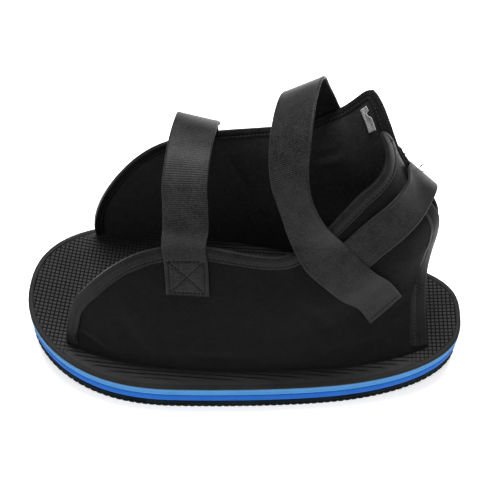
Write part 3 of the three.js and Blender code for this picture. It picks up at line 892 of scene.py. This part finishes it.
# Path of a wall's bound edge: up its front, along its rim and down its rear
def edgePath(wall):
    spacing = 1.2
    front = np.stack([np.zeros(40), np.linspace(0, 1, 40)], axis=1)
    rim = np.stack([np.linspace(0, 1, 900), np.ones(900)], axis=1)[1:]
    rear = np.stack([np.ones(500), np.linspace(1, 0, 500)], axis=1)[1:]
    shares = np.vstack([front, rim, rear])
    cu, cv = wall.cut(shares[:, 0], shares[:, 1])
    points, _ = wall.at(cu, cv)
    run = np.concatenate([[0], np.cumsum(np.linalg.norm(np.diff(points, axis=0), axis=1))])
    at = np.linspace(0, run[-1], int(run[-1] / spacing))
    cu, cv = np.interp(at, run, cu), np.interp(at, run, cv)
    rearStart = run[len(front) + len(rim)]
    points, normal = wall.at(cu, cv)
    kernel = np.ones(7) / 7
    longer = np.pad(points, ((3, 3), (0, 0)), mode="edge")
    smooth = np.stack([np.convolve(longer[:, k], kernel, "valid") for k in range(3)], axis=1)
    points[3:-3] = smooth[3:-3]
    along = unit(np.gradient(points, axis=0))
    inward = -wall.side * np.cross(along, normal)
    return points, normal, unit(inward), at, rearStart


# Tape folded over the edge: raised bands each side of a sewn groove, the same on both faces.
# A row is (share of the tape's width, height)
grooveAt = 0.69
bindingProfile = [
    (1.0, 0.01),
    (0.985, 0.22),
    (0.93, 0.32),
    (0.8, 0.34),
    (0.73, 0.16),
    (grooveAt, 0.06),
    (0.65, 0.16),
    (0.58, 0.34),
    (0.4, 0.38),
    (0.2, 0.36),
    (0.06, 0.25),
    (-0.04, -0.1),
    (-0.085, -1.3),
]


def binding(name, wall, rimWidth, rearWidth):
    points, normal, inward, run, rearStart = edgePath(wall)
    blend = np.clip((run - rearStart) / 25, 0, 1)
    wide = rimWidth + (rearWidth - rimWidth) * blend
    half = wallThickness / 2
    face = [(a, half + b) for a, b in bindingProfile]
    ring = face + [(a, -b) for a, b in reversed(face[:-1])]
    wavy = 0.18 * np.sin(run / 7.3) + 0.12 * np.sin(run / 3.1 + 1)
    grid = []
    uv = []
    for k in range(len(run)):
        row = [points[k] + inward[k] * (a * wide[k] + wavy[k] * (a > 0.8)) + normal[k] * b for a, b in ring]
        grid.append(row + row[:1])
        spread = np.linspace(0, 2 * wide[k], len(ring) + 1)
        uv.append([(run[k], s) for s in spread])
    tape = loft(name, np.array(grid, float), np.array(uv, float))
    bm = bmesh.new()
    bm.from_mesh(tape.data)
    bmesh.ops.holes_fill(bm, edges=[edge for edge in bm.edges if edge.is_boundary], sides=0)
    bmesh.ops.recalc_face_normals(bm, faces=bm.faces)
    bm.to_mesh(tape.data)
    bm.free()
    seams = []
    groove = points + inward * (grooveAt * wide)[:, None]
    for side in (1, -1):
        seams.append((groove + normal * (side * (half + 0.1)), normal * side))
    return tape, seams


# Sewn lines: one short rounded stitch after another along a path
def stitches(name, paths, pitch=2.6, long=2.0, thick=0.3):
    bm = bmesh.new()
    for points, normal in paths:
        run = np.concatenate([[0], np.cumsum(np.linalg.norm(np.diff(points, axis=0), axis=1))])
        for at in np.arange(pitch / 2, run[-1] - pitch / 2, pitch):
            ends = []
            for reach in (-long / 2, long / 2):
                ends.append(np.array([np.interp(at + reach, run, points[:, k]) for k in range(3)]))
            up = Vector([float(np.interp(at, run, normal[:, k])) for k in range(3)]).normalized()
            along = Vector(ends[1] - ends[0]).normalized()
            side = up.cross(along).normalized()
            up = along.cross(side)
            turn = Matrix((along, side, up)).transposed().to_4x4()
            size = Matrix.Diagonal((long / 2 * mm, thick * mm, thick * mm, 1))
            spot = Matrix.Translation(Vector((ends[0] + ends[1]) / 2) * mm)
            bmesh.ops.create_uvsphere(bm, u_segments=6, v_segments=4, radius=1, matrix=spot @ turn @ size)
    return finishMesh(bm, name, 80)


for side, wall, rimWidth, rearWidth in (("near", nearWall, 8.5, 12.0), ("far", farWall, 5.6, 7.5)):
    body = wallBody(side + "_wall_body", wall)
    put(body, wallFabric, "wall_fabric", side + "_side_wall")
    dressWall(body, wall)
    tape, seams = binding(side + "_wall_binding", wall, rimWidth, rearWidth)
    put(tape, bindingTape, "wall_fabric")
    put(stitches(side + "_binding_stitches", seams), sewThread, "wall_fabric")
print("walls and bindings made")

# Straps: a row for each bend. A row on a wall is (wall, u, v, layers under it); a row in the air is
# (x, y, z) in shares and the way its width runs
forefootRows = [
    (nearWall, 0.399, 0.69, 0),
    (nearWall, 0.407, 0.8, 0),
    (nearWall, 0.413, 0.91, 0),
    (nearWall, 0.418, 1.02, 0),
    ((-0.116, -0.166, 1.2), (1, 0, 0)),
    ((-0.118, -0.11, 1.29), (1, 0, 0.05)),
    ((-0.123, -0.025, 1.37), (1, 0, 0.06)),
    ((-0.122, 0.09, 1.428), (1, -0.05, 0.03)),
    ((-0.12, 0.2, 1.437), (1, -0.1, -0.02)),
    ((-0.117, 0.31, 1.405), (1, -0.12, -0.1)),
    ((-0.117, 0.41, 1.32), (1, -0.1, -0.15)),
    ((-0.118, 0.485, 1.18), (1, 0, -0.1)),
    (farWall, 0.505, 1.02, 0.2),
    (farWall, 0.487, 0.91, 0),
    (farWall, 0.466, 0.8, 0),
    (farWall, 0.443, 0.69, 0),
    (farWall, 0.419, 0.57, 0),
    (farWall, 0.394, 0.45, 0),
]
ankleRows = [
    (nearWall, 0.851, 0.294, 0.3),
    (nearWall, 0.8, 0.438, 0.6),
    (nearWall, 0.748, 0.585, 1),
    (nearWall, 0.719, 0.74, 1),
    (nearWall, 0.69, 0.9, 1.2),
    ((0.12, -0.16, 1.235), (0.79, -0.02, 0.8)),
    ((0.095, -0.11, 1.385), (0.79, -0.2, 0.95)),
    ((0.079, -0.052, 1.53), (0.83, -0.16, 0.7)),
    ((0.075, 0.038, 1.645), (0.86, -0.08, 0.52)),
    ((0.077, 0.143, 1.712), (0.88, -0.03, 0.48)),
    ((0.082, 0.253, 1.728), (0.88, 0.03, 0.47)),
    ((0.09, 0.36, 1.7), (0.88, 0.08, 0.47)),
    ((0.1, 0.455, 1.6), (0.86, 0.1, 0.48)),
    ((0.113, 0.53, 1.43), (0.85, 0.1, 0.5)),
    ((0.13, 0.592, 1.25), (0.83, 0.1, 0.53)),
    (farWall, 0.834, 1.0, 0.5),
    (farWall, 0.84, 0.91, 0.2),
    (farWall, 0.845, 0.82, 0.1),
    (farWall, 0.845, 0.73, 0.1),
    (farWall, 0.845, 0.64, 0.1),
]
heelRows = [
    (nearWall, 0.735, 0.748, 0),
    (nearWall, 0.768, 0.75, 0),
    (nearWall, 0.8, 0.756, 0),
    (nearWall, 0.832, 0.762, 0),
    (nearWall, 0.862, 0.765, 0.1),
    (nearWall, 0.89, 0.762, 0.3),
    (nearWall, 0.917, 0.754, 0.6),
    (nearWall, 0.945, 0.748, 1.1),
    ((0.358, 0.252, 1.098), (0.7, -0.14, -0.6)),
    ((0.366, 0.325, 1.045), (0.76, -0.1, -0.66)),
    ((0.362, 0.4, 0.95), (0.7, -0.1, -0.7)),
    (farWall, 0.955, 0.69, 1.2),
    (farWall, 0.935, 0.68, 0.6),
]


class Strap:
    def __init__(self, rows):
        lifts = [wallThickness / 2 + seatGap + strapThickness / 2] * len(rows)
        middles = []
        for k, row in enumerate(rows):
            if len(row) == 4:
                lifts[k] += row[3] * (strapThickness + seatGap)
                middles.append(row[0].stepFrom(row[1], row[2], np.zeros(3), lifts[k]))
            else:
                middles.append(np.array(place(*row[0])))
        across = np.zeros(3)
        bends = []
        for k, row in enumerate(rows):
            along = middles[min(k + 1, len(rows) - 1)] - middles[max(k - 1, 0)]
            if len(row) == 4:
                step = np.cross(along, row[0].at(row[1], row[2])[1][0])
            else:
                step = np.array(row[1], float)
            step = unit(step) * strapWidth / 2
            if step @ across < 0:
                step = -step
            across = step
            if len(row) == 4:
                left = row[0].stepFrom(row[1], row[2], -step, lifts[k])
                right = row[0].stepFrom(row[1], row[2], step, lifts[k])
            else:
                left, right = middles[k] - step, middles[k] + step
            bends.append((left, middles[k], right))
        self.lines = [Line([bend[k] for bend in bends]) for k in range(3)]
        self.length = self.lines[1].length
        self.facing = 1

    # Middle surface at shares along and across, w from -1 to 1
    def at(self, s, w):
        left, middle, right = (line.byPoint(s) for line in self.lines)
        w = np.atleast_1d(w)[:, None]
        return left * (w * (w - 1) / 2) + middle * (1 - w * w) + right * (w * (w + 1) / 2)

    def lifted(self, s, w, lift):
        s, w = np.broadcast_arrays(np.atleast_1d(s).astype(float), np.atleast_1d(w).astype(float))
        nudge = 0.002
        s0, s1 = np.clip(s - nudge, 0, 1), np.clip(s + nudge, 0, 1)
        along = self.at(s1, w) - self.at(s0, w)
        across = self.at(s, w + 0.05) - self.at(s, w - 0.05)
        normal = self.facing * unit(np.cross(along, across))
        return self.at(s, w) + normal * np.atleast_1d(lift)[:, None], normal


forefootStrap, ankleStrap, heelStrap = Strap(forefootRows), Strap(ankleRows), Strap(heelRows)
# A strap's first face looks away from the near wall, where the strap starts
for strap, u in ((forefootStrap, 0.4), (ankleStrap, 0.8), (heelStrap, 0.8)):
    _, normal = strap.lifted(0.02, 0.0, 0.0)
    _, outward = nearWall.at(u, 0.6)
    if normal[0] @ outward[0] < 0:
        strap.facing = -1


# Webbing: rounded selvedges a little proud of the ribbed middle, with grooves where it is sewn
def strapBody(name, strap, grooves):
    spacing = 0.9
    rows = int(strap.length / spacing)
    s = np.linspace(0, 1, rows)
    edge = [-1, -0.995, -0.98, -0.95, -0.9, -0.85]
    w = np.array(edge + list(np.linspace(-0.8, 0.8, 31)) + [-e for e in reversed(edge)])
    half = strapThickness / 2 * np.clip(1 - np.abs(w) ** 40, 0, 1) ** 0.5
    half = half + 0.14 * np.exp(-(((np.abs(w) - 0.9) / 0.06) ** 2))
    grid = np.zeros((rows + 2, 2 * len(w), 3))
    uv = np.zeros((rows + 2, 2 * len(w), 2))
    for k in range(-1, rows + 1):
        at = s[min(max(k, 0), rows - 1)]
        thick = half * (0 if k < 0 or k == rows else 1)
        sunk = np.zeros(len(w))
        for groove in grooves:
            sunk = np.maximum(sunk, groove(at * strap.length, w * strapWidth / 2))
        sunk = sunk * (thick > 0.3)
        top, _ = strap.lifted(at, w, thick - sunk)
        under, _ = strap.lifted(at, w, -thick)
        grid[k + 1, : len(w)] = top
        grid[k + 1, len(w) :] = under[::-1]
        uv[k + 1, :, 0] = at * strap.length
        uv[k + 1, : len(w), 1] = w * strapWidth / 2
        uv[k + 1, len(w) :, 1] = w[::-1] * strapWidth / 2
    grid = np.concatenate([grid, grid[:, :1]], axis=1)
    uv = np.concatenate([uv, uv[:, :1]], axis=1)
    return loft(name, grid, uv, 50)


# A sewn line between two spots of a strap, in millimetres along and across
def sewnLine(start, end):
    deep, wide = 0.42, 0.75
    (ax, ay), (bx, by) = start, end
    span = max(math.hypot(bx - ax, by - ay), 1e-6)

    def depth(x, y):
        share = np.clip(((x - ax) * (bx - ax) + (y - ay) * (by - ay)) / span**2, 0, 1)
        gap = np.hypot(x - ax - share * (bx - ax), y - ay - share * (by - ay))
        return deep * np.exp(-((gap / wide) ** 2))

    return depth


def sewnPath(strap, start, end, lift):
    count = max(int(math.hypot(end[0] - start[0], end[1] - start[1])), 4)
    x, y = np.linspace(start[0], end[0], count), np.linspace(start[1], end[1], count)
    points, normal = strap.lifted(x / strap.length, y / (strapWidth / 2), np.full(count, lift))
    return points, normal


def boxWithCross(x0, x1, half):
    corners = [(x0, -half), (x1, -half), (x1, half), (x0, half)]
    lines = [(corners[k], corners[(k + 1) % 4]) for k in range(4)]
    return lines + [(corners[0], corners[2]), (corners[1], corners[3])]


strapWeb = webbingMat(
    "strapWebbing", (0.0055, 0.0055, 0.0055), (0.0185, 0.0185, 0.0186), 1.1, 0.95, 0.07, 0.0
)
sewing = {
    "forefoot": boxWithCross(2.2, 27.5, 10.6),
    "ankle": [((3.0, -11.2), (3.0, 11.2))],
    "heel": [],
}
for name, strap in (("forefoot", forefootStrap), ("ankle", ankleStrap), ("heel", heelStrap)):
    lines = sewing[name]
    body = strapBody(name + "_webbing", strap, [sewnLine(*line) for line in lines])
    put(body, strapWeb, "webbing", name + "_strap")
    if lines:
        paths = [sewnPath(strap, *line, strapThickness / 2 - 0.22) for line in lines]
        put(stitches(name + "_sewing", paths, 2.4, 1.9, 0.26), darkThread, "webbing")
print("straps made")


# A few frayed thread ends stand off the heel strap's fold and the far wing's edge.
# A row is (start, reach, bend)
frays = [
    ((102.4, 43.6, 128.1), (3.6, 1.0, 3.4), 0.5),
    ((102.8, 43.2, 127.2), (4.8, -1.0, 1.6), -0.6),
    ((102.6, 44.0, 127.7), (2.4, 1.6, 3.6), 0.4),
    ((90.2, 51.0, 135.6), (3.6, 0.6, 2.0), 0.6),
    ((91.0, 50.6, 133.8), (4.0, 0.2, 0.8), -0.5),
]


def frayedThreads():
    radius = 0.22
    bm = bmesh.new()
    for start, reach, bend in frays:
        t = np.linspace(0, 1, 9)[:, None]
        spine = np.array(start) + t * np.array(reach) + np.sin(math.pi * t) * np.array((0.0, bend, bend))
        along = unit(np.gradient(spine, axis=0))
        side = unit(np.cross(along, (0.3, 0.2, 1.0)))
        over = np.cross(along, side)
        turn = np.linspace(0, 2 * math.pi, 7)
        thick = radius * np.array([0.02, 1, 1, 1, 1, 1, 1, 1, 0.02])
        rings = []
        for k in range(9):
            ring = [spine[k] + thick[k] * (math.cos(a) * side[k] + math.sin(a) * over[k]) for a in turn]
            rings.append(ring)
        skin(bm, np.array(rings))
    return finishMesh(bm, "frayed_threads", 80)


put(frayedThreads(), darkThread, "webbing")


# Blank woven tab inside the far wing, its free edge notched and curled
def labelTab():
    across, tall = 9, 26
    grid = np.zeros((tall, across, 3))
    uv = np.zeros((tall, across, 2))
    for j in range(tall):
        b = j / (tall - 1)
        notch = float(np.interp(b, [0.5, 0.58, 0.72, 0.8], [1.0, 0.76, 0.6, 0.97]))
        for i in range(across):
            a = i / (across - 1) * notch
            curl = 1.5 * (1 - notch) * (i / (across - 1)) ** 3
            curl += 1.6 * max(0.0, a - 0.45) ** 2
            curl += 1.2 * max(0.0, b - 0.75) ** 2 * a
            lift = -(wallThickness / 2 + seatGap + 0.9 + 2.2 * curl)
            grid[j, i] = farWall.stepFrom(0.944 + a * 0.024, 0.842 + b * 0.1, np.zeros(3), lift)
            uv[j, i] = (b * 13, a * 7)
    obj = loft("label_blank", grid, uv)
    thick = obj.modifiers.new("thickness", "SOLIDIFY")
    thick.thickness = 0.5 * mm
    thick.offset = 0
    return obj


labelWeave = webbingMat("labelWeave", (0.18, 0.18, 0.18), (0.28, 0.28, 0.28), 0.5, 0.5, 0.3, 0.05)
put(labelTab(), labelWeave, "label", "label_tab")

# Floor
floorMesh = bmesh.new()
bmesh.ops.create_grid(floorMesh, x_segments=1, y_segments=1, size=6)
floor = finishMesh(floorMesh, "paleFloor")
floorMat, floorShader = newMat("paleFloor", 0.9, 0.1)
floorTone = ramp(floorMat, noise(floorMat, objectCoord(floorMat), 3, 2), (0.9, 0.9, 0.9), (0.93, 0.93, 0.93))
floorMat.node_tree.links.new(floorTone, floorShader.inputs["Base Color"])
floorShader.inputs["Emission Color"].default_value = (1.0, 1.0, 1.0, 1.0)
floorShader.inputs["Emission Strength"].default_value = 0.38
floor.data.materials.append(floorMat)
